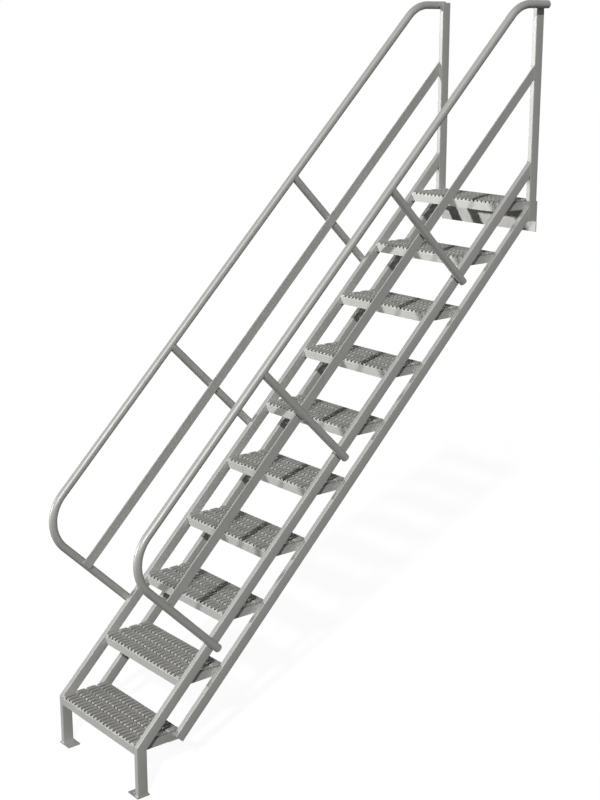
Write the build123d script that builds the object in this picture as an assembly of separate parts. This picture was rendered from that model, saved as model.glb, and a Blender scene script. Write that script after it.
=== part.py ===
"""Fixed steel stairway ladder with ten grating treads, twin stringers and handrails on both sides.

Millimetres. X is across the steps (+X is the climber's right), +Y is the direction of climbing and
+Z is up. The origin is the centre of the mounting plate's rear face, where the stair meets its wall
or platform. Each piece is first drawn in stair coordinates, with the floor at Z = 0 and the front of
the first step at Y = 0, and is moved to the origin when it is written.
"""
from build123d import *
from math import asin, atan2, cos, floor, radians, sin, tan
import os

os.makedirs("parts", exist_ok=True)

# Steps
TREAD_COUNT = 10
RISE = 241.3
RUN = 241.3
CLEAR_WIDTH = 609.6
TREAD_DEPTH = 247.65
TREAD_HEIGHT = 38.1
TREAD_SHEET = 2.0
TREAD_BEND = 1.6
END_PLATE = 3.2

# Raised rows of the tread top and the diamond openings along them
DIAMOND_ROWS = 4
DIAMOND_PITCH = 100.0
DIAMOND_BRIDGE = 15.0
DIAMOND_STRAND = 20.0
DIAMOND_END_BAND = 5.0
TREAD_EDGE_BAND = 9.0
ROW_HEIGHT = 11.0
ROW_VALLEY = 4.5
ROW_SLANT = 6.0

# Rectangular tubes of the frame, all of one width across the stair, with a flat across each corner
TUBE_WIDTH = 25.4
TUBE_WALL = 2.5
TUBE_CORNER = 2.0
LEG_DEPTH = 50.8
UPPER_STRINGER_DEPTH = 50.8
LOWER_STRINGER_DEPTH = 50.8
LOWER_STRINGER_DROP = 152.4
LOWER_STRINGER_START = 137.0
POST_DEPTH = 50.8
POST_BELOW_TOP_TREAD = 95.0
POST_ABOVE_TOP_TREAD = 952.5

# Foot plates
FOOT_PLATE_LENGTH = 76.2
FOOT_PLATE_DEPTH = 63.5
FOOT_PLATE_THICKNESS = 6.35
FOOT_PLATE_OVERHANG_SIDE = 2.5
FOOT_PLATE_OVERHANG_FRONT = 6.35
FOOT_HOLE_DIAMETER = 14.0
FOOT_HOLE_FROM_END = 19.0
FOOT_HOLE_FROM_FRONT = 19.0

# Mounting plate behind the top tread
MOUNT_PLATE_HEIGHT = 152.4
MOUNT_PLATE_THICKNESS = 6.35

# Round tubes of the handrails and braces, closed by domed ends and drawn without their bore
RAIL_DIAMETER = 38.1
RAIL_BEND_RADIUS = 177.8
RAIL_HEIGHT = 628.0
RAIL_RETURN_PLACE = 551.0
RAIL_TAIL = 51.0
RAIL_TOP_ABOVE_TREAD = 941.0
BRACE_PITCH = 1042.0
BRACE_COUNT = 2
DOME_HEIGHT = 6.0
WELD_GAP = 0.2

# Flat bar of the mid rails
MID_RAIL_WIDTH = 47.6
MID_RAIL_THICKNESS = 6.35
MID_RAIL_HEIGHT = 303.0
MID_RAIL_LAP = 8.0

# Places worked out from the sizes above
SLOPE = atan2(RISE, RUN)
TOP_LEVEL = RISE * TREAD_COUNT
REAR_FACE = RUN * (TREAD_COUNT - 1) + TREAD_DEPTH
POST_FRONT = REAR_FACE - POST_DEPTH
MOUNT_FACE = REAR_FACE + MOUNT_PLATE_THICKNESS
MOUNT_LEVEL = TOP_LEVEL - MOUNT_PLATE_HEIGHT / 2
INNER_FACE = CLEAR_WIDTH / 2
OUTER_FACE = INNER_FACE + TUBE_WIDTH
TUBE_CENTRE = INNER_FACE + TUBE_WIDTH / 2
RAIL_CENTRE = OUTER_FACE + RAIL_DIAMETER / 2 + WELD_GAP
SIDES = {"left": -1, "right": 1}


def on_slope(along, above):
    """Side view point at a distance along the nose line and a height square to it."""
    y = along * cos(SLOPE) - above * sin(SLOPE)
    z = RISE + along * sin(SLOPE) + above * cos(SLOPE)
    return y, z


def slope_at_y(y, above):
    """Side view point at a given Y on the line that runs at that height over the nose line."""
    along = (y + above * sin(SLOPE)) / cos(SLOPE)
    return on_slope(along, above)


def slope_at_z(z, above):
    """Side view point at a given Z on the line that runs at that height over the nose line."""
    along = (z - RISE - above * cos(SLOPE)) / sin(SLOPE)
    return on_slope(along, above)


def write(name, solids):
    """Move the solids of one node to the mounting face and write them."""
    placed = [Pos(0, -MOUNT_FACE, -MOUNT_LEVEL) * solid for solid in solids]
    export_step(Compound(placed) if len(placed) > 1 else placed[0], f"parts/{name}.step")


def side_prism(points, x_low, x_high):
    """Prism with a side view outline of (y, z) points, from one X to another."""
    outline = make_face(Polyline(*[(x_low, y, z) for y, z in points], close=True).edges())
    return extrude(outline, amount=x_high - x_low, dir=(1, 0, 0)).solid()


def box_tube(x, start, end, depth, closed_start=False, closed_end=False):
    """Rectangular tube with eased corners between two side view points on its centre line."""
    a = Vector(x, *start)
    b = Vector(x, *end)
    way = (b - a).normalized()
    length = (b - a).length
    outer_section = chamfer(Rectangle(TUBE_WIDTH, depth).vertices(), TUBE_CORNER)
    outer = extrude(Plane(a, x_dir=(1, 0, 0), z_dir=way) * outer_section, length)
    low = TUBE_WALL if closed_start else 0
    high = TUBE_WALL if closed_end else 0
    inner_section = Rectangle(TUBE_WIDTH - 2 * TUBE_WALL, depth - 2 * TUBE_WALL)
    inner = extrude(Plane(a + way * low, x_dir=(1, 0, 0), z_dir=way) * inner_section, length - low - high)
    return (outer - inner).solid()


def cut_side(solid, point, direction, keep_point):
    """Cut a solid with a plane square to the side view, through a point along a (y, z) direction."""
    way = Vector(0, *direction)
    normal = way.cross(Vector(1, 0, 0))
    if normal.dot(Vector(0, *keep_point) - Vector(0, *point)) < 0:
        normal = normal * -1
    return split(solid, bisect_by=Plane(Vector(0, *point), z_dir=normal), keep=Keep.TOP).solid()


def row_profile(front, top):
    """Side view points of the walking surface: raised rows with valleys between, level at both edges."""
    high = top + ROW_HEIGHT
    first = front + TREAD_EDGE_BAND
    last = front + TREAD_DEPTH - TREAD_EDGE_BAND
    pitch = (last - first) / DIAMOND_ROWS
    points = [(first, top), (first + ROW_SLANT, high)]
    for row in range(1, DIAMOND_ROWS):
        valley = first + pitch * row
        points += [(valley - ROW_SLANT, high), (valley, high - ROW_VALLEY), (valley + ROW_SLANT, high)]
    return points + [(last - ROW_SLANT, high), (last, top)]


def tread(number):
    """Channel with bent edges, raised rows and diamond openings, nose at the top front corner."""
    front = RUN * (number - 1)
    top = RISE * number
    back = front + TREAD_DEPTH
    low = top - TREAD_HEIGHT
    half = INNER_FACE - END_PLATE
    surface = row_profile(front, top)
    outside = side_prism([(front, low), (front, top), *surface, (back, top), (back, low)], -half, half)
    bends = [edge for edge in outside.edges().filter_by(Axis.X)
             if abs(edge.center().Z - top) < TREAD_SHEET and edge.center().Y in (front, back)]
    outside = chamfer(bends, TREAD_BEND)
    under = [(y, z - TREAD_SHEET) for y, z in surface]
    inside = side_prism(
        [(front + TREAD_SHEET, low), (front + TREAD_SHEET, top - TREAD_SHEET), *under,
         (back - TREAD_SHEET, top - TREAD_SHEET), (back - TREAD_SHEET, low)], -half, half)
    row_pitch = (TREAD_DEPTH - 2 * TREAD_EDGE_BAND) / DIAMOND_ROWS
    long_half = (row_pitch - DIAMOND_BRIDGE) / 2
    short_half = (DIAMOND_PITCH - DIAMOND_STRAND) / 2
    count = floor((2 * (half - DIAMOND_END_BAND) + DIAMOND_STRAND) / DIAMOND_PITCH)
    openings = Sketch()
    for row in range(DIAMOND_ROWS):
        y = front + TREAD_EDGE_BAND + row_pitch * (row + 0.5)
        for place in range(count):
            x = DIAMOND_PITCH * (place - (count - 1) / 2)
            diamond = Polygon((-short_half, 0), (0, -long_half), (short_half, 0), (0, long_half), align=None)
            openings += Pos(x, y) * diamond
    cutter = extrude(Pos(0, 0, top + ROW_HEIGHT - 2 * TREAD_SHEET) * openings, 3 * TREAD_SHEET)
    return (outside - inside - cutter).solid()


def end_plates(number):
    """The flat plates that close both ends of a tread and lie against the stringers."""
    front = RUN * (number - 1)
    top = RISE * number
    outline = [(front, top - TREAD_HEIGHT), (front, top), (front + TREAD_DEPTH, top),
               (front + TREAD_DEPTH, top - TREAD_HEIGHT)]
    left = side_prism(outline, -INNER_FACE, -INNER_FACE + END_PLATE)
    right = side_prism(outline, INNER_FACE - END_PLATE, INNER_FACE)
    return [left, right]


def mitre():
    """Front and rear side view points of the joint between a leg and its upper stringer."""
    return slope_at_y(0, 0), slope_at_y(LEG_DEPTH, -UPPER_STRINGER_DEPTH)


def leg(x):
    front, rear = mitre()
    centre = LEG_DEPTH / 2
    tube = box_tube(x, (centre, FOOT_PLATE_THICKNESS), (centre, RISE + LEG_DEPTH), LEG_DEPTH)
    direction = (rear[0] - front[0], rear[1] - front[1])
    return cut_side(tube, front, direction, (centre, 0))


def upper_stringer(x):
    front, rear = mitre()
    middle = -UPPER_STRINGER_DEPTH / 2
    tube = box_tube(x, on_slope(-RISE / 2, middle), slope_at_y(MOUNT_FACE, middle), UPPER_STRINGER_DEPTH)
    direction = (rear[0] - front[0], rear[1] - front[1])
    tube = cut_side(tube, front, direction, (REAR_FACE, TOP_LEVEL))
    return cut_side(tube, (POST_FRONT, 0), (0, 1), (0, 0))


def lower_stringer(x):
    middle = -LOWER_STRINGER_DROP - LOWER_STRINGER_DEPTH / 2
    start = on_slope(LOWER_STRINGER_START, middle)
    tube = box_tube(x, start, slope_at_y(MOUNT_FACE, middle), LOWER_STRINGER_DEPTH, closed_start=True)
    return cut_side(tube, (POST_FRONT, 0), (0, 1), (0, 0))


def post(x):
    centre = POST_FRONT + POST_DEPTH / 2
    low = (centre, TOP_LEVEL - POST_BELOW_TOP_TREAD)
    high = (centre, TOP_LEVEL + POST_ABOVE_TOP_TREAD)
    return box_tube(x, low, high, POST_DEPTH, closed_start=True, closed_end=True)


def foot_plate(side):
    """Floor plate under a leg, reaching inwards to one anchor hole."""
    outer = OUTER_FACE + FOOT_PLATE_OVERHANG_SIDE
    centre = side * (outer - FOOT_PLATE_LENGTH / 2)
    depth_centre = FOOT_PLATE_DEPTH / 2 - FOOT_PLATE_OVERHANG_FRONT
    plate = Pos(centre, depth_centre, FOOT_PLATE_THICKNESS / 2) * Box(
        FOOT_PLATE_LENGTH, FOOT_PLATE_DEPTH, FOOT_PLATE_THICKNESS)
    hole_x = side * (outer - FOOT_PLATE_LENGTH + FOOT_HOLE_FROM_END)
    hole_y = FOOT_HOLE_FROM_FRONT - FOOT_PLATE_OVERHANG_FRONT
    hole = Pos(hole_x, hole_y, FOOT_PLATE_THICKNESS / 2) * Cylinder(
        FOOT_HOLE_DIAMETER / 2, 2 * FOOT_PLATE_THICKNESS)
    return (plate - hole).solid()


def mounting_plate():
    return side_prism(
        [(REAR_FACE, TOP_LEVEL - MOUNT_PLATE_HEIGHT), (REAR_FACE, TOP_LEVEL),
         (MOUNT_FACE, TOP_LEVEL), (MOUNT_FACE, TOP_LEVEL - MOUNT_PLATE_HEIGHT)], -OUTER_FACE, OUTER_FACE)


def rail_route():
    """Side view points of a handrail's centre line: lower end, two corners and upper end."""
    top = TOP_LEVEL + RAIL_TOP_ABOVE_TREAD
    return [on_slope(RAIL_RETURN_PLACE, -RAIL_TAIL), on_slope(RAIL_RETURN_PLACE, RAIL_HEIGHT),
            slope_at_z(top, RAIL_HEIGHT), (MOUNT_FACE - DOME_HEIGHT, top)]


def round_section(point, way):
    """Section of a round tube, square to the way it runs."""
    return Plane(point, x_dir=(1, 0, 0), z_dir=way) * Circle(RAIL_DIAMETER / 2)


def handrail(x):
    """Bent round tube from the outer side of the stringer up, along the slope and level at the top."""
    points = [Vector(x, y, z) for y, z in rail_route()]
    tube = None
    start = points[0]
    for before, corner, after in zip(points, points[1:], points[2:]):
        way_in = (corner - before).normalized()
        way_out = (after - corner).normalized()
        turn = way_in.get_angle(way_out)
        setback = RAIL_BEND_RADIUS * tan(radians(turn) / 2)
        bend_start = corner - way_in * setback
        straight = extrude(round_section(start, way_in), (bend_start - start).length)
        axis_way = way_in.cross(way_out).normalized()
        centre = bend_start + axis_way.cross(way_in) * RAIL_BEND_RADIUS
        bend = revolve(round_section(bend_start, way_in), Axis(centre, axis_way), turn)
        tube = straight + bend if tube is None else tube + straight + bend
        start = corner + way_out * setback
    way = (points[-1] - start).normalized()
    return (tube + extrude(round_section(start, way), (points[-1] - start).length)).solid()


def brace_place(index):
    return RAIL_RETURN_PLACE + BRACE_PITCH * (index + 1)


def brace(x, index):
    """Round tube square to the slope, coped to the handrail and lapped over the stringer's side."""
    low = Vector(x, *on_slope(brace_place(index), -RAIL_TAIL))
    high = Vector(x, *on_slope(brace_place(index), RAIL_HEIGHT))
    tube = extrude(round_section(low, high - low), (high - low).length)
    rail_start = Vector(x, *on_slope(brace_place(index) - 2 * RAIL_DIAMETER, RAIL_HEIGHT))
    rail_way = Plane(rail_start, x_dir=(1, 0, 0), z_dir=Vector(0, cos(SLOPE), sin(SLOPE)))
    rail_space = extrude(rail_way * Circle(RAIL_DIAMETER / 2 + WELD_GAP), 4 * RAIL_DIAMETER)
    return (tube - rail_space).solid()


def dome(centre, direction):
    """Domed end cap that closes a round tube, drawn as three cones to spare facets."""
    rim = RAIL_DIAMETER / 2
    ball = (rim ** 2 + DOME_HEIGHT ** 2) / (2 * DOME_HEIGHT)
    lean = asin(rim / ball)
    outline = [(0, 0), (rim, 0)]
    for share in (2 / 3, 1 / 3):
        outline.append((ball * sin(lean * share), ball * (cos(lean * share) - 1) + DOME_HEIGHT))
    outline.append((0, DOME_HEIGHT))
    half_section = make_face(Polyline(*outline, close=True))
    cap = revolve(Plane.XZ * half_section, Axis.Z)
    return (Plane(centre, x_dir=(1, 0, 0), z_dir=direction) * cap).solid()


def rail_caps(x):
    """Caps on both ends of a handrail and on the lower ends of its braces."""
    route = rail_route()
    down = Vector(0, sin(SLOPE), -cos(SLOPE))
    caps = [dome(Vector(x, *route[0]), down), dome(Vector(x, *route[-1]), Vector(0, 1, 0))]
    for index in range(BRACE_COUNT):
        caps.append(dome(Vector(x, *on_slope(brace_place(index), -RAIL_TAIL)), down))
    return caps


def mid_rail(side):
    """Flat bar along the slope, lapped on the inside of the return and braces, ending at the post."""
    low = MID_RAIL_HEIGHT - MID_RAIL_WIDTH / 2
    high = MID_RAIL_HEIGHT + MID_RAIL_WIDTH / 2
    start = RAIL_RETURN_PLACE - MID_RAIL_LAP
    outline = [on_slope(start, low), on_slope(start, high), slope_at_y(POST_FRONT, high), slope_at_y(POST_FRONT, low)]
    inner = OUTER_FACE - MID_RAIL_THICKNESS
    ends = sorted([side * inner, side * OUTER_FACE])
    return side_prism(outline, *ends)


for number in range(1, TREAD_COUNT + 1):
    write(f"tread_{number:02d}", [tread(number)])
    write(f"tread_{number:02d}_end_plates", end_plates(number))

for name, side in SIDES.items():
    frame_x = side * TUBE_CENTRE
    rail_x = side * RAIL_CENTRE
    write(f"{name}_foot_plate", [foot_plate(side)])
    write(f"{name}_leg", [leg(frame_x)])
    write(f"{name}_upper_stringer", [upper_stringer(frame_x)])
    write(f"{name}_lower_stringer", [lower_stringer(frame_x)])
    write(f"{name}_post", [post(frame_x)])
    write(f"{name}_handrail", [handrail(rail_x)])
    write(f"{name}_mid_rail", [mid_rail(side)])
    for index in range(BRACE_COUNT):
        write(f"{name}_brace_{index + 1}", [brace(rail_x, index)])
    write(f"{name}_rail_caps", rail_caps(rail_x))

write("mounting_plate", [mounting_plate()])
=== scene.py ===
"""Looks of the steel stairway ladder: painted tubes, raised grating treads, round rails and weld beads.

Metres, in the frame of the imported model: X across the steps, +Y the way up, +Z up, and the origin at
the centre of the mounting plate's rear face.
"""

from math import asin, atan2, cos, pi, radians, sin, tan

import bmesh
import bpy
from mathutils import Euler, Matrix, Vector


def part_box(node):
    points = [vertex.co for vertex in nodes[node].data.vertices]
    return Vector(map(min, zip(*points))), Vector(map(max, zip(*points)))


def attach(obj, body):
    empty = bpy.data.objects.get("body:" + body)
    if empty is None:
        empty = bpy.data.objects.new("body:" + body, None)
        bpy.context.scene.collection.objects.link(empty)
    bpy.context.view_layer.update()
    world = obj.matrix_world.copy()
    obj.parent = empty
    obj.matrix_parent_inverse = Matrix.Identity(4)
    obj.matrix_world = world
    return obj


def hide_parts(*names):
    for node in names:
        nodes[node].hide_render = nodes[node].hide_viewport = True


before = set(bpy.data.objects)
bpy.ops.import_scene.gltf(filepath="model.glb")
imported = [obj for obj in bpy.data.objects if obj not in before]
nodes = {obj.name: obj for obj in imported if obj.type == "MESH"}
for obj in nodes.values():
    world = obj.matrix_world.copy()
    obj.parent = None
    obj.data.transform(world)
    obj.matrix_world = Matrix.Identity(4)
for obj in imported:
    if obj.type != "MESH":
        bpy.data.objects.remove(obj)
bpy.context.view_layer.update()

MM = 0.001
SIDES = {"left": -1, "right": 1}
TREAD_NAMES = sorted(name for name in nodes if name.startswith("tread_") and len(name) == len("tread_01"))

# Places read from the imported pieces
first_low, first_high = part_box("tread_01_end_plates")
second_low, second_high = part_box("tread_02_end_plates")
FLOOR_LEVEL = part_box("left_foot_plate")[0].z
RUN = second_low.y - first_low.y
RISE = second_high.z - first_high.z
SLOPE = atan2(RISE, RUN)
NOSE = Vector((0, first_low.y, first_high.z))
TREAD_DEPTH = first_high.y - first_low.y
TREAD_HEIGHT = first_high.z - first_low.z
INNER_FACE = first_high.x
GRATING_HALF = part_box("tread_01")[1].x
OUTER_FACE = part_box("right_leg")[1].x
POST_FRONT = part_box("right_post")[0].y
RAIL_CENTRE = (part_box("right_handrail")[0].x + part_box("right_handrail")[1].x) / 2
RAIL_RADIUS = (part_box("right_handrail")[1].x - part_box("right_handrail")[0].x) / 2
RAIL_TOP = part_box("right_handrail")[1].z - RAIL_RADIUS
RAIL_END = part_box("right_handrail")[1].y

# Sizes of the round rails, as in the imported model
BEND_RADIUS = 177.8 * MM
RAIL_HEIGHT = 628.0 * MM
RETURN_PLACE = 551.0 * MM
BRACE_PITCH = 1042.0 * MM
BRACE_COUNT = 2
RAIL_TAIL = 51.0 * MM
DOME_HEIGHT = 6.0 * MM
RAIL_SIDES = 48
BEND_STEPS = 20
DOME_RINGS = 7
ROUND_SHARP = 50.0

# Sizes of the flat bars and box tubes
MID_RAIL_HEIGHT = 303.0 * MM
MID_RAIL_WIDTH = 47.6 * MM
MID_RAIL_THICKNESS = 6.35 * MM
UPPER_STRINGER_DEPTH = 50.8 * MM
LOWER_STRINGER_DEPTH = 50.8 * MM
LOWER_STRINGER_DROP = 152.4 * MM
LOWER_STRINGER_START = 137.0 * MM
LEG_DEPTH = 50.8 * MM
POST_DEPTH = 50.8 * MM
CORNER_RADIUS = 3.5 * MM
CORNER_STEPS = 6
BOX_SHARP = 40.0

# Sizes of the raised grating
GRATING_ROWS = 4
GRATING_COLUMNS = 21
COLUMN_PITCH = 27.0 * MM
EDGE_BAND = 9.0 * MM
OPEN_EDGE = 2.4 * MM
SHEET = 2.0 * MM
NOSE_RADIUS = 2.3 * MM
NOSE_STEPS = 5
VALLEY_HEIGHT = 2.0 * MM
CREST_HEIGHT = 10.9 * MM
NOSE_LEDGE = 0.004
NOSE_FRONT = 0.005
NOSE_UPRIGHT = 0.6
NOSE_SHOULDER = 0.075
CREST_START = 0.12
CREST_ARCH = 1.6 * MM
OPENING_HALF = 8.2 * MM
LIP_WIDTH = 2.2 * MM
TOOTH_HEIGHT = 1.0 * MM
STRUT_DIP = 0.8 * MM
STRUT_DEPTH = 14.0 * MM
END_FOLD = 3.0 * MM
SLICES = 24
FIRST_SLICE = 0.02
CLOSED_BEFORE = 0.001
CLOSED_AFTER = 0.99
NOSE_SQUARENESS = 0.04
LENS_SQUARENESS = 0.22
GAP_BETWEEN_TEETH = 0.4
MERGE_DISTANCE = 0.01 * MM


def on_slope(along, above, x=0.0):
    """Point at a distance along the nose line and a height square to it."""
    y = along * cos(SLOPE) - above * sin(SLOPE)
    z = along * sin(SLOPE) + above * cos(SLOPE)
    return NOSE + Vector((x, y, z))


def slope_at_y(y, above, x=0.0):
    """Point at a given Y on the line that runs at that height over the nose line."""
    along = (y - NOSE.y + above * sin(SLOPE)) / cos(SLOPE)
    return on_slope(along, above, x)


UP_SLOPE = Vector((0, cos(SLOPE), sin(SLOPE)))
OFF_SLOPE = Vector((0, -sin(SLOPE), cos(SLOPE)))


def new_piece(name, mesh_data):
    piece = bpy.data.objects.new(name, mesh_data)
    bpy.context.scene.collection.objects.link(piece)
    return piece


def mesh_from(name, build, *given):
    """Mesh made by a function that fills a bmesh, from what it is given."""
    bm = bmesh.new()
    build(bm, *given)
    mesh_data = bpy.data.meshes.new(name)
    bm.to_mesh(mesh_data)
    bm.free()
    return mesh_data


def skin(bm, rings):
    """Faces between closed rings that have as many points each."""
    for near, far in zip(rings, rings[1:]):
        count = len(near)
        for k in range(count):
            bm.faces.new([near[k], near[(k + 1) % count], far[(k + 1) % count], far[k]])


# Materials

def node(tree, kind, **inputs):
    made = tree.nodes.new(kind)
    for key, value in inputs.items():
        made.inputs[key.replace("_", " ")].default_value = value
    return made


def noise(tree, where, scale, detail, roughness):
    made = node(tree, "ShaderNodeTexNoise", Scale=scale, Detail=detail, Roughness=roughness)
    tree.links.new(where, made.inputs["Vector"])
    return made.outputs["Fac"]


def stretched(tree, where, scale, turn=(0.0, 0.0, 0.0)):
    """Coordinates scaled and turned, so that a noise on them draws streaks."""
    made = node(tree, "ShaderNodeMapping", Scale=scale, Rotation=turn)
    tree.links.new(where, made.inputs["Vector"])
    return made.outputs["Vector"]


def span(tree, value, low, high, to_low, to_high):
    """A value carried from one range to another and kept inside it."""
    made = node(tree, "ShaderNodeMapRange", From_Min=low, From_Max=high, To_Min=to_low, To_Max=to_high)
    tree.links.new(value, made.inputs["Value"])
    return made.outputs["Result"]


def maths(tree, operation, first, second):
    made = tree.nodes.new("ShaderNodeMath")
    made.operation = operation
    for socket, value in zip(made.inputs, (first, second)):
        if isinstance(value, (int, float)):
            socket.default_value = value
        else:
            tree.links.new(value, socket)
    return made.outputs["Value"]


def mixed(tree, share, first, second):
    """Colour between two, each a colour or a socket."""
    made = tree.nodes.new("ShaderNodeMix")
    made.data_type = "RGBA"
    tree.links.new(share, made.inputs["Factor"])
    for socket, value in ((made.inputs["A"], first), (made.inputs["B"], second)):
        if isinstance(value, tuple):
            socket.default_value = (*value, 1.0)
        else:
            tree.links.new(value, socket)
    return made.outputs["Result"]


# The paint's noises, in repeats a metre, and how strongly each layer shows
CLOUD_SCALE = 5.0
GRAIN_SCALE = 260.0
PEEL_SCALE = 520.0
STREAK_SCALE = (38.0, 38.0, 5.0)
SCUFF_SCALE = (150.0, 22.0, 22.0)
SCUFF_TURN = (0.5, 0.2, 0.9)
STREAK_SHARE = 0.35
SCUFF_SHARE = 0.6
GRAIN_SHARE = 0.05
DUST_SHARE = 0.22
DUST_HEIGHT = 0.55
# Painted shade: how strongly shade is painted on the grating's deep walls, and its dark colour
PAINTED_SHADE_SHARE = 0.8
PAINTED_SHADE_COLOUR = (0.075, 0.070, 0.058)
METAL_SHARE = 0.285
ROUGHNESS = 0.47
CLOUD_ROUGHNESS = 0.03
GRAIN_ROUGHNESS = 0.02
SCUFF_DEPTH = 0.6
PEEL_DEPTH = 0.6 * MM


def painted_steel(name, colour, stain, grime, worn, peel):
    """Aluminium-filled paint: cloudy colour, grime, dust, scuffs, grain, painted shade in the grating's
    hollows and orange peel.
    """
    made = bpy.data.materials.new(name)
    made.use_nodes = True
    tree = made.node_tree
    shader = tree.nodes["Principled BSDF"]
    where = tree.nodes.new("ShaderNodeTexCoord").outputs["Object"]
    cloud = noise(tree, where, CLOUD_SCALE, 5.0, 0.6)
    grain = noise(tree, where, GRAIN_SCALE, 3.0, 0.6)
    streak = noise(tree, stretched(tree, where, STREAK_SCALE), 1.0, 6.0, 0.65)
    scratch = noise(tree, stretched(tree, where, SCUFF_SCALE, SCUFF_TURN), 1.0, 3.0, 0.5)
    scuff = span(tree, scratch, 0.70, 0.76, 0.0, SCUFF_SHARE)
    parts = tree.nodes.new("ShaderNodeSeparateXYZ")
    tree.links.new(where, parts.inputs["Vector"])
    near_ground = span(tree, parts.outputs["Z"], FLOOR_LEVEL, FLOOR_LEVEL + DUST_HEIGHT, DUST_SHARE, 0.0)
    dust = maths(tree, "MULTIPLY", near_ground, span(tree, cloud, 0.3, 0.7, 0.3, 1.0))
    # Painted shade: a vertex value on the grating's deep walls darkens the paint there, in place of the
    # shade inside the openings
    recess = tree.nodes.new("ShaderNodeAttribute")
    recess.attribute_name = "recess"
    base = colour
    for share, over in (
            (span(tree, cloud, 0.35, 0.65, 0.0, 1.0), stain),
            (span(tree, streak, 0.56, 0.78, 0.0, STREAK_SHARE), grime),
            (dust, grime),
            (scuff, worn),
            (span(tree, grain, 0.3, 0.7, 0.0, GRAIN_SHARE), grime),
            (span(tree, recess.outputs["Fac"], 0.0, 1.0, 0.0, PAINTED_SHADE_SHARE), PAINTED_SHADE_COLOUR)):
        base = mixed(tree, share, base, over)
    tree.links.new(base, shader.inputs["Base Color"])
    shader.inputs["Metallic"].default_value = METAL_SHARE
    cloudy = span(tree, cloud, 0.3, 0.7, ROUGHNESS - CLOUD_ROUGHNESS, ROUGHNESS + CLOUD_ROUGHNESS)
    grainy = span(tree, grain, 0.3, 0.7, -GRAIN_ROUGHNESS, GRAIN_ROUGHNESS)
    tree.links.new(maths(tree, "ADD", cloudy, grainy), shader.inputs["Roughness"])
    bump = node(tree, "ShaderNodeBump", Strength=peel, Distance=PEEL_DEPTH)
    worn_through = maths(tree, "MULTIPLY", scuff, -SCUFF_DEPTH)
    height = maths(tree, "ADD", noise(tree, where, PEEL_SCALE, 2.0, 0.5), worn_through)
    tree.links.new(height, bump.inputs["Height"])
    tree.links.new(bump.outputs["Normal"], shader.inputs["Normal"])
    return made


FRAME_PAINT = painted_steel(
    "frame_paint", colour=(0.600, 0.598, 0.575), stain=(0.560, 0.557, 0.532),
    grime=(0.400, 0.385, 0.350), worn=(0.660, 0.660, 0.645), peel=0.05)
TREAD_PAINT = painted_steel(
    "tread_paint", colour=(0.585, 0.583, 0.560), stain=(0.545, 0.542, 0.517),
    grime=(0.340, 0.328, 0.300), worn=(0.640, 0.640, 0.628), peel=0.08)
WELD_PAINT = painted_steel(
    "weld_paint", colour=(0.580, 0.578, 0.552), stain=(0.520, 0.515, 0.490),
    grime=(0.360, 0.345, 0.315), worn=(0.640, 0.640, 0.625), peel=0.30)


def dress(piece, material, slot_name, *replaced):
    """Give a piece its material, its body and the nodes that it stands for."""
    piece.data.materials.clear()
    piece.data.materials.append(material)
    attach(piece, "root")
    if replaced:
        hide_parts(*replaced)


# Raised grating treads

def row_height(share, start, end, first):
    """Height of a raised row over the nose: steep at both ends, upright at the nose, and arched between."""
    ends = start + (end - start) * share
    crest = CREST_HEIGHT - CREST_ARCH * (1.0 - sin(pi * share))
    rise = sin(pi / 2 * min(1.0, share / CREST_START, (1.0 - share) / CREST_START))
    if first and share < CREST_START:
        upright = min(1.0, max(0.0, share - NOSE_LEDGE) / NOSE_FRONT)
        shoulder = min(1.0, max(0.0, share - NOSE_LEDGE - NOSE_FRONT) / NOSE_SHOULDER)
        rise = NOSE_UPRIGHT * upright + (1.0 - NOSE_UPRIGHT) * sin(pi / 2 * shoulder)
    return ends + (crest - ends) * rise


def opening_half(share, first):
    """Half width of the lens-shaped opening at a share of the row's depth; square at the nose."""
    if not CLOSED_BEFORE < share < CLOSED_AFTER:
        return 0.0
    squareness = NOSE_SQUARENESS if first and share < 0.5 else LENS_SQUARENESS
    return OPENING_HALF * sin(pi * share) ** squareness


def row_stations():
    """Places along the tread's depth: Y, height, half width of the opening and 1 on every other one."""
    pitch = (TREAD_DEPTH - 2 * EDGE_BAND) / GRATING_ROWS
    inner_borders = [EDGE_BAND + pitch * row for row in range(1, GRATING_ROWS)]
    borders = [OPEN_EDGE, *inner_borders, TREAD_DEPTH - OPEN_EDGE]
    stations = []
    for row, (near, far) in enumerate(zip(borders, borders[1:])):
        start = 0.0 if row == 0 else VALLEY_HEIGHT
        end = 0.0 if row == GRATING_ROWS - 1 else VALLEY_HEIGHT
        first = row == 0
        shares = [step / SLICES for step in range(1, SLICES + 1)]
        if first:
            shares = [0.0, NOSE_LEDGE, NOSE_LEDGE + NOSE_FRONT, FIRST_SLICE] + shares
        for step, share in enumerate(shares):
            stations.append((near + (far - near) * share, row_height(share, start, end, first),
                             opening_half(share, first), step % 2))
    return stations


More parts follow.
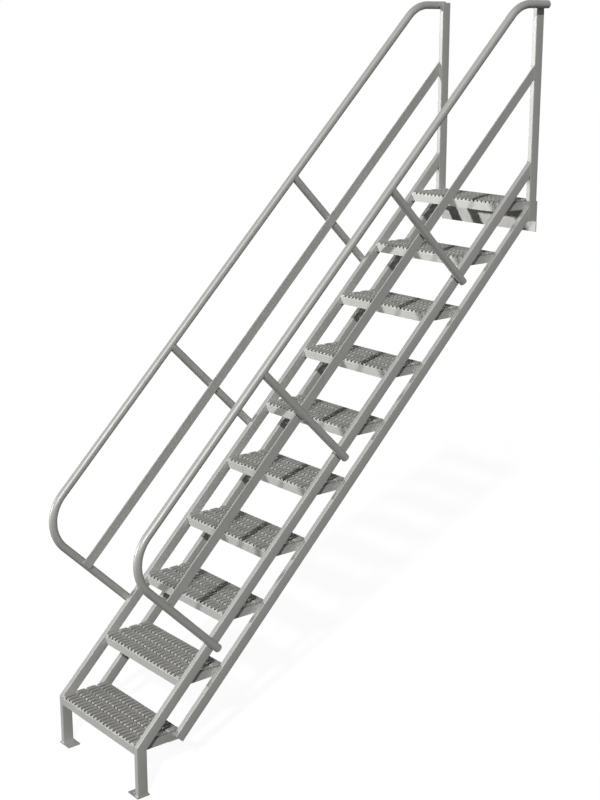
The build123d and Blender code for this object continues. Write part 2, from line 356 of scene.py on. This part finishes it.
def grating_column(bm):
    """One column of the sheet's top: struts with toothed edges folded down round four lens openings, with
    shade painted on the openings' deep walls.
    """
    half = COLUMN_PITCH / 2
    # Painted shade: vertices low on an opening's wall get a value, larger where the opening is wider, that
    # darkens the paint there
    painted_shade_layer = bm.verts.layers.float.new("recess")
    for side in (-1, 1):
        rings = []
        for y, z, gap, tooth in row_stations():
            share = gap / OPENING_HALF
            top = z + TOOTH_HEIGHT * share * (1 if tooth else -GAP_BETWEEN_TEETH)
            foot = z - SHEET - (STRUT_DEPTH - SHEET) * share ** 0.5
            fold = gap + LIP_WIDTH
            low = z - SHEET - STRUT_DIP * share
            ring = [(half, z - STRUT_DIP * share), (fold, z), (gap, top), (gap, foot),
                    (min(gap + SHEET, half), foot), (min(gap + SHEET, half), low), (half, low)]
            verts = [bm.verts.new((side * u, y, height)) for u, height in ring]
            for vert in verts[3:6]:
                vert[painted_shade_layer] = share
            rings.append((gap, verts))
        for (gap, near), (next_gap, far) in zip(rings, rings[1:]):
            for k in range(6):
                if k in (2, 3, 4) and gap == 0 and next_gap == 0:
                    continue
                corners = [near[k], near[k + 1], far[k + 1], far[k]]
                bm.faces.new(corners[::-1] if side > 0 else corners)


def end_strips(bm):
    """The plain strips of the sheet beside the end plates, folded down to close the rows' open ends."""
    edge = COLUMN_PITCH * GRATING_COLUMNS / 2
    wall = GRATING_HALF - SHEET
    # Painted shade: the folded-down end walls get the full value, which darkens the paint there
    painted_shade_layer = bm.verts.layers.float.new("recess")
    for side in (-1, 1):
        rings = []
        for y, z, *_ in row_stations():
            ring = [(edge, z), (GRATING_HALF, z), (GRATING_HALF, -END_FOLD), (wall, -END_FOLD),
                    (wall, z - SHEET), (edge, z - SHEET)]
            verts = [bm.verts.new((side * x, y, height)) for x, height in ring]
            for vert in verts[2:5]:
                vert[painted_shade_layer] = 1.0
            rings.append(verts)
        skin(bm, rings)
        for ring in (rings[0], rings[-1]):
            bm.faces.new(ring)
    bmesh.ops.recalc_face_normals(bm, faces=bm.faces)


def channel_edges(bm):
    """Nose and rear skirts with their bends and flat bands, swept across the tread."""
    outer = [(0.0, -TREAD_HEIGHT)]
    inner = [(SHEET, -TREAD_HEIGHT)]
    for step in range(NOSE_STEPS + 1):
        turn = pi / 2 * step / NOSE_STEPS
        for side, radius in ((outer, NOSE_RADIUS), (inner, NOSE_RADIUS - SHEET)):
            side.append((NOSE_RADIUS - radius * cos(turn), -NOSE_RADIUS + radius * sin(turn)))
    outer.append((OPEN_EDGE, 0.0))
    inner.append((OPEN_EDGE, -SHEET))
    section = outer + inner[::-1]
    for place in (lambda y: y, lambda y: TREAD_DEPTH - y):
        ends = [[bm.verts.new((x, place(y), z)) for y, z in section] for x in (-GRATING_HALF, GRATING_HALF)]
        skin(bm, ends)
        for end in ends:
            bm.faces.new(end)
    bmesh.ops.recalc_face_normals(bm, faces=bm.faces)


def socket_in(tree, name, kind, value=None):
    made = tree.interface.new_socket(name, in_out="INPUT", socket_type=kind)
    if value is not None:
        made.default_value = value
    return made.identifier


def grating_tree():
    """Repeats a column across the tread, joins the end strips and skirts and gives the paint."""
    tree = bpy.data.node_groups.new("raised_grating", "GeometryNodeTree")
    ids = {"skirts": socket_in(tree, "Skirts", "NodeSocketGeometry")}
    ids["column"] = socket_in(tree, "Column", "NodeSocketObject")
    ids["strips"] = socket_in(tree, "End strips", "NodeSocketObject")
    ids["count"] = socket_in(tree, "Columns", "NodeSocketInt", GRATING_COLUMNS)
    ids["pitch"] = socket_in(tree, "Column pitch", "NodeSocketFloat", COLUMN_PITCH)
    ids["paint"] = socket_in(tree, "Paint", "NodeSocketMaterial")
    tree.interface.new_socket("Geometry", in_out="OUTPUT", socket_type="NodeSocketGeometry")
    new, link = tree.nodes.new, tree.links.new
    given = new("NodeGroupInput")
    step = new("ShaderNodeCombineXYZ")
    link(given.outputs["Column pitch"], step.inputs["X"])
    last_place = maths(tree, "SUBTRACT", given.outputs["Columns"], 1.0)
    whole_span = maths(tree, "MULTIPLY", last_place, given.outputs["Column pitch"])
    start = new("ShaderNodeCombineXYZ")
    link(maths(tree, "MULTIPLY", whole_span, -0.5), start.inputs["X"])
    line = new("GeometryNodeMeshLine")
    line.mode = "OFFSET"
    link(given.outputs["Columns"], line.inputs["Count"])
    link(start.outputs["Vector"], line.inputs["Start Location"])
    link(step.outputs["Vector"], line.inputs["Offset"])
    column = new("GeometryNodeObjectInfo")
    link(given.outputs["Column"], column.inputs["Object"])
    spread = new("GeometryNodeInstanceOnPoints")
    link(line.outputs["Mesh"], spread.inputs["Points"])
    link(column.outputs["Geometry"], spread.inputs["Instance"])
    strips = new("GeometryNodeObjectInfo")
    link(given.outputs["End strips"], strips.inputs["Object"])
    whole = new("GeometryNodeJoinGeometry")
    for part in (spread.outputs["Instances"], strips.outputs["Geometry"], given.outputs["Skirts"]):
        link(part, whole.inputs["Geometry"])
    real = new("GeometryNodeRealizeInstances")
    link(whole.outputs["Geometry"], real.inputs["Geometry"])
    merged = new("GeometryNodeMergeByDistance")
    merged.inputs["Distance"].default_value = MERGE_DISTANCE
    link(real.outputs["Geometry"], merged.inputs["Geometry"])
    paint = new("GeometryNodeSetMaterial")
    link(merged.outputs["Geometry"], paint.inputs["Geometry"])
    link(given.outputs["Paint"], paint.inputs["Material"])
    link(paint.outputs["Geometry"], new("NodeGroupOutput").inputs["Geometry"])
    return tree, ids


def grown(piece, tree, values):
    """Plain mesh that a node tree makes of a piece, with its inputs set by identifier."""
    modifier = piece.modifiers.new("grown", "NODES")
    modifier.node_group = tree
    for identifier, value in values.items():
        modifier[identifier] = value
    view = bpy.context.evaluated_depsgraph_get()
    view.update()
    made = bpy.data.meshes.new_from_object(piece.evaluated_get(view))
    piece.modifiers.remove(modifier)
    return made


def treads():
    """Ten alike treads from one grown mesh, each moved to its step."""
    column = new_piece("grating_column", mesh_from("grating_column", grating_column))
    strips = new_piece("grating_strips", mesh_from("grating_strips", end_strips))
    skirts = new_piece("grating_skirts", mesh_from("grating_skirts", channel_edges))
    tree, ids = grating_tree()
    pattern = grown(skirts, tree, {
        ids["column"]: column, ids["strips"]: strips, ids["count"]: GRATING_COLUMNS,
        ids["pitch"]: COLUMN_PITCH, ids["paint"]: TREAD_PAINT})
    for helper in (column, strips, skirts):
        bpy.data.objects.remove(helper)
    for name in TREAD_NAMES:
        low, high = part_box(name + "_end_plates")
        mesh_data = pattern.copy()
        mesh_data.transform(Matrix.Translation((0, low.y, high.z)))
        mesh_data.name = name + "_grating"
        dress(new_piece(name + "_grating", mesh_data), TREAD_PAINT, "tread_paint", name)


# Round rails

def ring_at(bm, centre, way, radius):
    across = Vector((1, 0, 0))
    up = way.normalized().cross(across)
    return [bm.verts.new(centre + across * (radius * cos(turn)) + up * (radius * sin(turn)))
            for turn in (2 * pi * k / RAIL_SIDES for k in range(RAIL_SIDES))]


def dome_rings(bm, centre, way):
    """Rings of a domed end and its pole, from the tube's rim outwards."""
    ball = (RAIL_RADIUS ** 2 + DOME_HEIGHT ** 2) / (2 * DOME_HEIGHT)
    spread = asin(RAIL_RADIUS / ball)
    rings = []
    for step in range(1, DOME_RINGS):
        turn = spread * (1 - step / DOME_RINGS)
        height = ball * cos(turn) - (ball - DOME_HEIGHT)
        rings.append(ring_at(bm, centre + way * height, way, ball * sin(turn)))
    return rings, bm.verts.new(centre + way * DOME_HEIGHT)


def rail_route():
    """Centre points and directions along a handrail, with its two bends in small steps."""
    low = on_slope(RETURN_PLACE, -RAIL_TAIL)
    corner = on_slope(RETURN_PLACE, RAIL_HEIGHT)
    along = (RAIL_TOP - NOSE.z - RAIL_HEIGHT * cos(SLOPE)) / sin(SLOPE)
    upper = on_slope(along, RAIL_HEIGHT)
    end = Vector((0, RAIL_END, RAIL_TOP))
    route = [(low, OFF_SLOPE)]
    for before, bend, after in ((low, corner, upper), (corner, upper, end)):
        way_in = (bend - before).normalized()
        way_out = (after - bend).normalized()
        turn = way_in.angle(way_out)
        setback = BEND_RADIUS * tan(turn / 2)
        axis = way_in.cross(way_out).normalized()
        start = bend - way_in * setback
        centre = start + axis.cross(way_in) * BEND_RADIUS
        for step in range(BEND_STEPS + 1):
            spin = Matrix.Rotation(turn * step / BEND_STEPS, 3, axis)
            route.append((centre + spin @ (start - centre), spin @ way_in))
    route.append((end, Vector((0, 1, 0))))
    return route


def handrail(bm, shift):
    skin(bm, [ring_at(bm, place + shift, way, RAIL_RADIUS) for place, way in rail_route()])
    bmesh.ops.recalc_face_normals(bm, faces=bm.faces)


def brace_places():
    return [RETURN_PLACE + BRACE_PITCH * (index + 1) for index in range(BRACE_COUNT)]


def brace(bm, place, shift):
    """Round tube up to the handrail's underside, cut to fit round it."""
    low = ring_at(bm, on_slope(place, -RAIL_TAIL) + shift, OFF_SLOPE, RAIL_RADIUS)
    high = []
    for k, corner in enumerate(low):
        turn = 2 * pi * k / RAIL_SIDES
        reach = RAIL_TAIL + RAIL_HEIGHT - RAIL_RADIUS * abs(sin(turn))
        high.append(bm.verts.new(corner.co + OFF_SLOPE * reach))
    skin(bm, [low, high])
    bmesh.ops.recalc_face_normals(bm, faces=bm.faces)


def domed_ends(bm, shift):
    """Caps on the open ends of one side's handrail and braces."""
    route = rail_route()
    ends = [(route[0][0], -OFF_SLOPE), (route[-1][0], Vector((0, 1, 0)))]
    ends += [(on_slope(place, -RAIL_TAIL), -OFF_SLOPE) for place in brace_places()]
    for centre, way in ends:
        rim = ring_at(bm, centre + shift, way, RAIL_RADIUS)
        rings, pole = dome_rings(bm, centre + shift, way)
        skin(bm, [rim] + rings)
        last = rings[-1]
        for k in range(RAIL_SIDES):
            bm.faces.new([last[k], last[(k + 1) % RAIL_SIDES], pole])
        bm.faces.new(rim[::-1])
    bmesh.ops.recalc_face_normals(bm, faces=bm.faces)


def smooth_piece(name, replaced, sharp_angle, build, *given):
    """Painted frame piece, smooth but for edges sharper than an angle in degrees."""
    mesh_data = mesh_from(name, build, *given)
    mesh_data.shade_smooth()
    mesh_data.set_sharp_from_angle(angle=radians(sharp_angle))
    dress(new_piece(name, mesh_data), FRAME_PAINT, "frame_paint", replaced)


def round_rails():
    for name, side in SIDES.items():
        shift = Vector((side * RAIL_CENTRE, 0, 0))
        smooth_piece(f"{name}_handrail_tube", f"{name}_handrail", ROUND_SHARP, handrail, shift)
        for number, place in enumerate(brace_places(), 1):
            whole = f"{name}_brace_{number}"
            smooth_piece(whole + "_tube", whole, ROUND_SHARP, brace, place, shift)
        smooth_piece(f"{name}_domed_ends", f"{name}_rail_caps", ROUND_SHARP, domed_ends, shift)


# Rectangular tubes

def rounded_section(depth):
    """Points round a tube's section: X from its middle and distance square to its run."""
    points = []
    half_x = (OUTER_FACE - INNER_FACE) / 2 - CORNER_RADIUS
    half_depth = depth / 2 - CORNER_RADIUS
    for quarter, (x_way, depth_way) in enumerate(((1, 1), (-1, 1), (-1, -1), (1, -1))):
        for step in range(CORNER_STEPS + 1):
            turn = pi / 2 * (quarter + step / CORNER_STEPS)
            x = x_way * half_x + CORNER_RADIUS * cos(turn)
            points.append((x, depth_way * half_depth + CORNER_RADIUS * sin(turn)))
    return points


def cut_tube(bm, middle, way, depth, cuts):
    """Tube along a side view direction, ended by a plane at each end: a point on it and its normal."""
    square = Vector((0, -way.z, way.y))
    rings = []
    for place, normal in cuts:
        ring = []
        for across, off in rounded_section(depth):
            foot = middle + Vector((across, 0, 0)) + square * off
            ring.append(bm.verts.new(foot + way * ((place - foot).dot(normal) / way.dot(normal))))
        rings.append(ring)
    skin(bm, rings)
    for ring in rings:
        bm.faces.new(ring)
    bmesh.ops.recalc_face_normals(bm, faces=bm.faces)


def box_tubes():
    """Legs, stringers and posts of both sides."""
    level, upright = Vector((0, 1, 0)), Vector((0, 0, 1))
    mitre_front = slope_at_y(NOSE.y, 0)
    mitre_rear = slope_at_y(NOSE.y + LEG_DEPTH, -UPPER_STRINGER_DEPTH)
    mitre_way = mitre_rear - mitre_front
    mitre = (mitre_front, Vector((0, -mitre_way.z, mitre_way.y)).normalized())
    at_post = (Vector((0, POST_FRONT, 0)), level)
    lower_start = on_slope(LOWER_STRINGER_START, -LOWER_STRINGER_DROP - LOWER_STRINGER_DEPTH / 2)
    for name, side in SIDES.items():
        shift = Vector((side * (INNER_FACE + OUTER_FACE) / 2, 0, 0))
        leg_foot = (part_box(name + "_leg")[0], upright)
        post_foot, post_top = ((corner, upright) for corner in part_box(name + "_post"))
        for part, middle, way, depth, cuts in (
                ("leg", Vector((0, NOSE.y + LEG_DEPTH / 2, 0)), upright, LEG_DEPTH, (leg_foot, mitre)),
                ("upper_stringer", on_slope(0, -UPPER_STRINGER_DEPTH / 2), UP_SLOPE, UPPER_STRINGER_DEPTH,
                 (mitre, at_post)),
                ("lower_stringer", lower_start, UP_SLOPE, LOWER_STRINGER_DEPTH,
                 ((lower_start, UP_SLOPE), at_post)),
                ("post", Vector((0, POST_FRONT + POST_DEPTH / 2, 0)), upright, POST_DEPTH,
                 (post_foot, post_top))):
            whole = f"{name}_{part}"
            smooth_piece(whole + "_tube", whole, BOX_SHARP, cut_tube, middle + shift, way, depth, cuts)


# Weld beads

BEAD_RADIUS = 2.4 * MM
RIPPLE_PITCH = 2.6 * MM
RIPPLE_RANGE = (0.86, 1.04)
UNEVEN_RANGE = (0.88, 1.10)
BEAD_SEED = 11
BEAD_SIDES = 8
SADDLE_STEPS = 40
SADDLE_INSET = 1.2 * BEAD_RADIUS
SAME_PLACE = 1e-6

# How far a bead sinks into a face, stands off one, or stops short of an edge
SINK = 0.3 * MM
BAR_SINK = 0.5 * MM
POST_SINK = 0.6 * MM
RAIL_STAND_OFF = 1.6 * MM
SADDLE_STAND_OFF = 0.4 * MM
SHORT_STOP = 2.0 * MM
LONG_STOP = 3.0 * MM
NOSE_STOP = 6.0 * MM

# Half the length of a bead along a mid rail, and the place of the two beside a round tube
BAR_BEAD_HALF = 9.0 * MM
FIRST_BAR_BEAD_HALF = 1.0 * MM
RAIL_BEAD_SPREAD = 8.0 * MM


def bead_tree():
    """Turns lines into weld beads: evenly stepped, rippled and a little uneven, with capped ends."""
    tree = bpy.data.node_groups.new("weld_bead", "GeometryNodeTree")
    ids = {"lines": socket_in(tree, "Lines", "NodeSocketGeometry")}
    ids["radius"] = socket_in(tree, "Bead radius", "NodeSocketFloat", BEAD_RADIUS)
    ids["pitch"] = socket_in(tree, "Ripple pitch", "NodeSocketFloat", RIPPLE_PITCH)
    ids["seed"] = socket_in(tree, "Seed", "NodeSocketInt", BEAD_SEED)
    ids["paint"] = socket_in(tree, "Paint", "NodeSocketMaterial")
    tree.interface.new_socket("Geometry", in_out="OUTPUT", socket_type="NodeSocketGeometry")
    new, link = tree.nodes.new, tree.links.new
    given = new("NodeGroupInput")
    curve = new("GeometryNodeMeshToCurve")
    link(given.outputs["Lines"], curve.inputs["Mesh"])
    stepped = new("GeometryNodeResampleCurve")
    stepped.mode = "LENGTH"
    link(curve.outputs["Curve"], stepped.inputs["Curve"])
    link(maths(tree, "MULTIPLY", given.outputs["Ripple pitch"], 0.5), stepped.inputs["Length"])
    odd = maths(tree, "MODULO", new("GeometryNodeInputIndex").outputs["Index"], 2.0)
    ripple = span(tree, odd, 0.0, 1.0, *RIPPLE_RANGE)
    chance = new("FunctionNodeRandomValue")
    chance.data_type = "FLOAT"
    chance.inputs[2].default_value, chance.inputs[3].default_value = UNEVEN_RANGE
    link(given.outputs["Seed"], chance.inputs["Seed"])
    uneven = maths(tree, "MULTIPLY", ripple, chance.outputs[1])
    size = maths(tree, "MULTIPLY", uneven, given.outputs["Bead radius"])
    swept = new("GeometryNodeCurveToMesh")
    round_line = new("GeometryNodeCurvePrimitiveCircle")
    round_line.inputs["Resolution"].default_value = BEAD_SIDES
    round_line.inputs["Radius"].default_value = 1.0
    swept.inputs["Fill Caps"].default_value = True
    link(stepped.outputs["Curve"], swept.inputs["Curve"])
    link(round_line.outputs["Curve"], swept.inputs["Profile Curve"])
    link(size, swept.inputs["Scale"])
    real = new("GeometryNodeRealizeInstances")
    link(swept.outputs["Mesh"], real.inputs["Geometry"])
    paint = new("GeometryNodeSetMaterial")
    link(real.outputs["Geometry"], paint.inputs["Geometry"])
    link(given.outputs["Paint"], paint.inputs["Material"])
    link(paint.outputs["Geometry"], new("NodeGroupOutput").inputs["Geometry"])
    return tree, ids


def lines_piece(name, paths):
    """Loose edges along each path of points; a path whose ends meet is a closed loop."""
    mesh_data = bpy.data.meshes.new(name)
    points, edges = [], []
    for path in paths:
        first = len(points)
        closed = (path[0] - path[-1]).length < SAME_PLACE
        kept = path[:-1] if closed else path
        points += kept
        edges += [(first + k, first + k + 1) for k in range(len(kept) - 1)]
        if closed:
            edges.append((first + len(kept) - 1, first))
    mesh_data.from_pydata(points, edges, [])
    return new_piece(name, mesh_data)


def straight(x, start, end):
    """Straight line in a plane of constant X, between two (Y, Z) points."""
    return [Vector((x, *start)), Vector((x, *end))]


def tread_seams(side):
    """Where each tread's end plate is welded to the two stringers of one side."""
    x = side * (INNER_FACE - SINK)
    upper = UPPER_STRINGER_DEPTH / cos(SLOPE)
    lower_top = LOWER_STRINGER_DROP / cos(SLOPE)
    lower_low = (LOWER_STRINGER_DROP + LOWER_STRINGER_DEPTH) / cos(SLOPE)
    paths = []
    for name in TREAD_NAMES:
        low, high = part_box(name + "_end_plates")
        front, back, under, top = low.y, high.y, low.z, high.z
        top_end = min(front + upper, POST_FRONT) - LONG_STOP
        paths.append(straight(x, (front + NOSE_STOP, top), (top_end, top)))
        at_under = front - TREAD_HEIGHT
        paths.append(straight(x, (front + SHORT_STOP, under), (at_under + upper - SHORT_STOP, under)))
        if name != TREAD_NAMES[-1]:
            paths.append(straight(x, (at_under + lower_top + LONG_STOP, under),
                                  (at_under + lower_low - SHORT_STOP, under)))
            rear_low = top + back - front - lower_low + LONG_STOP
            paths.append(straight(x, (back, rear_low), (back, top - SHORT_STOP)))
    return paths


def saddle(centre):
    """Closed line where a brace meets the underside of the handrail."""
    radius = RAIL_RADIUS + SADDLE_STAND_OFF
    reach = RAIL_RADIUS - SADDLE_INSET
    line = []
    for step in range(SADDLE_STEPS + 1):
        turn = 2 * pi * step / SADDLE_STEPS
        across = Vector((reach * cos(turn), 0, 0))
        drop = RAIL_RADIUS * abs(sin(turn)) + SINK
        line.append(centre + across + UP_SLOPE * (radius * sin(turn)) - OFF_SLOPE * drop)
    return line


def rectangle(low_x, high_x, first, second):
    """Closed line round a box tube's section, given its two side view edge points."""
    corners = ((low_x, first), (high_x, first), (high_x, second), (low_x, second), (low_x, first))
    return [Vector((x, point.y, point.z)) for x, point in corners]


def rail_seams(side):
    """Seams of one side's round rails and flat bar."""
    shift = Vector((side * RAIL_CENTRE, 0, 0))
    wall = side * (OUTER_FACE + RAIL_STAND_OFF)
    bar = side * (OUTER_FACE - BAR_SINK)
    bar_edges = [MID_RAIL_HEIGHT + edge for edge in (-MID_RAIL_WIDTH / 2, MID_RAIL_WIDTH / 2)]
    paths = []
    for place in [RETURN_PLACE, *brace_places()]:
        for offset in (-RAIL_BEAD_SPREAD, RAIL_BEAD_SPREAD):
            paths.append([on_slope(place + offset, -RAIL_TAIL + SHORT_STOP, wall),
                          on_slope(place + offset, -SHORT_STOP, wall)])
        before = FIRST_BAR_BEAD_HALF if place == RETURN_PLACE else BAR_BEAD_HALF
        for height in bar_edges:
            paths.append([on_slope(place - before, height, bar),
                          on_slope(place + BAR_BEAD_HALF, height, bar)])
    for place in brace_places():
        paths.append(saddle(on_slope(place, RAIL_HEIGHT) + shift))
    bar_sides = sorted([side * (OUTER_FACE - MID_RAIL_THICKNESS), side * (OUTER_FACE - POST_SINK)])
    paths.append(rectangle(*bar_sides, *(slope_at_y(POST_FRONT, height) for height in bar_edges)))
    return paths


def frame_seams(side):
    """Seams of one side's box tubes: the leg's foot and the two stringers' ends at the post."""
    faces = sorted([side * INNER_FACE, side * OUTER_FACE])
    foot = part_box("right_leg")[0]
    paths = [rectangle(*faces, foot, foot + Vector((0, LEG_DEPTH, 0)))]
    for drop, depth in ((0, UPPER_STRINGER_DEPTH), (LOWER_STRINGER_DROP, LOWER_STRINGER_DEPTH)):
        paths.append(rectangle(*faces, slope_at_y(POST_FRONT, -drop), slope_at_y(POST_FRONT, -drop - depth)))
    return paths


def seams():
    tree, ids = bead_tree()
    for name, side in SIDES.items():
        for kind, find_paths in (("tread", tread_seams), ("rail", rail_seams), ("frame", frame_seams)):
            lines = lines_piece(f"{name}_{kind}_lines", find_paths(side))
            made = grown(lines, tree, {
                ids["radius"]: BEAD_RADIUS, ids["pitch"]: RIPPLE_PITCH, ids["seed"]: BEAD_SEED,
                ids["paint"]: WELD_PAINT})
            bpy.data.objects.remove(lines)
            made.shade_smooth()
            dress(new_piece(f"{name}_{kind}_welds", made), WELD_PAINT, "frame_paint")


# Carried-over pieces

def paint_frame():
    """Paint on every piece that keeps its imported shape."""
    for name, piece in nodes.items():
        if piece.hide_render:
            continue
        on_tread = name.startswith("tread_")
        material = TREAD_PAINT if on_tread else FRAME_PAINT
        if not piece.material_slots:
            piece.data.materials.append(material)
        for slot in piece.material_slots:
            slot.material = material


# Stage, light and camera

FLOOR_REACH = 40.0
FLOOR_GREY = 0.14
FLOOR_GLOW = 0.93

# Brightness of the surround as the pieces see it: overhead, low in front, and low behind the stair
SKY_FILL = 0.03
HORIZON_FILL = 0.12
BACK_FILL = 0.50

# Where those change over, as shares of the surround's height and of its depth from front to back
LOW_SHARES = (0.40, 0.60)
BACK_SHARES = (0.20, 0.60)

# Ways towards the two suns, their strengths and their widths in degrees
KEY_WAY = Vector((-3.8, -4.4, 1.0))
KEY_STRENGTH = 0.60 * pi
KEY_WIDTH = 2.0
TOP_WAY = Vector((0.92, -1.0, 1.0))
TOP_STRENGTH = 0.69 * pi
TOP_WIDTH = 3.0


def white_floor():
    """Floor that glows white to the camera alone, and keeps the stair's shadow."""
    mesh_data = bpy.data.meshes.new("floor")
    corners = ((-1, -1), (1, -1), (1, 1), (-1, 1))
    points = [(x * FLOOR_REACH, y * FLOOR_REACH, FLOOR_LEVEL) for x, y in corners]
    mesh_data.from_pydata(points, [], [(0, 1, 2, 3)])
    floor = new_piece("floor", mesh_data)
    paint = bpy.data.materials.new("floor_white")
    paint.use_nodes = True
    tree = paint.node_tree
    tree.nodes.remove(tree.nodes["Principled BSDF"])
    matt = node(tree, "ShaderNodeBsdfDiffuse", Color=(FLOOR_GREY, FLOOR_GREY, FLOOR_GREY, 1.0))
    glow = tree.nodes.new("ShaderNodeEmission")
    path = tree.nodes.new("ShaderNodeLightPath")
    strength = maths(tree, "MULTIPLY", path.outputs["Is Camera Ray"], FLOOR_GLOW)
    tree.links.new(strength, glow.inputs["Strength"])
    both = tree.nodes.new("ShaderNodeAddShader")
    tree.links.new(matt.outputs["BSDF"], both.inputs[0])
    tree.links.new(glow.outputs["Emission"], both.inputs[1])
    tree.links.new(both.outputs["Shader"], tree.nodes["Material Output"].inputs["Surface"])
    mesh_data.materials.append(paint)


def surround():
    """World that is white to the camera, and to the pieces a dim sky, brighter low behind the stair."""
    world = bpy.data.worlds.new("surround")
    bpy.context.scene.world = world
    world.use_nodes = True
    tree = world.node_tree
    sky = tree.nodes["Background"]
    sky.inputs["Color"].default_value = (1.0, 1.0, 1.0, 1.0)
    path = tree.nodes.new("ShaderNodeLightPath")
    seen = maths(tree, "MAXIMUM", path.outputs["Is Camera Ray"], path.outputs["Is Transmission Ray"])
    way = tree.nodes.new("ShaderNodeSeparateXYZ")
    tree.links.new(tree.nodes.new("ShaderNodeTexCoord").outputs["Generated"], way.inputs["Vector"])
    lowness = span(tree, way.outputs["Z"], *LOW_SHARES, 1.0, 0.0)
    around = span(tree, way.outputs["Y"], *BACK_SHARES, HORIZON_FILL, BACK_FILL)
    low_fill = maths(tree, "MULTIPLY", lowness, around)
    diffuse = maths(tree, "MULTIPLY", maths(tree, "ADD", low_fill, SKY_FILL), path.outputs["Is Diffuse Ray"])
    glossy = maths(tree, "MULTIPLY", path.outputs["Is Glossy Ray"], SKY_FILL)
    fill = maths(tree, "ADD", glossy, diffuse)
    tree.links.new(maths(tree, "ADD", seen, fill), sky.inputs["Strength"])


def sun(name, way, strength, width):
    lamp = bpy.data.lights.new(name, "SUN")
    lamp.energy = strength
    lamp.angle = radians(width)
    made = new_piece(name, lamp)
    made.rotation_mode = "QUATERNION"
    made.rotation_quaternion = way.to_track_quat("Z", "Y")


# Camera fitted to the photo: place, turn and dip in degrees, lens and sensor in millimetres
CAMERA_PLACE = Vector((5.14220, -5.44038, 0.94925))
CAMERA_TURN = 50.817
CAMERA_DIP = 14.791
FOCAL_LENGTH = 64.938
SENSOR_WIDTH = 36.0


def camera():
    made = new_piece("camera", bpy.data.cameras.new("camera"))
    made.data.lens = FOCAL_LENGTH
    made.data.sensor_width = SENSOR_WIDTH
    made.location = CAMERA_PLACE
    made.rotation_euler = Euler((radians(90 - CAMERA_DIP), 0, radians(CAMERA_TURN)))
    bpy.context.scene.camera = made


treads()
round_rails()
box_tubes()
paint_frame()
seams()
white_floor()
surround()
sun("key_light", KEY_WAY, KEY_STRENGTH, KEY_WIDTH)
sun("top_light", TOP_WAY, TOP_STRENGTH, TOP_WIDTH)
camera()
bpy.context.scene.view_settings.view_transform = "Standard"
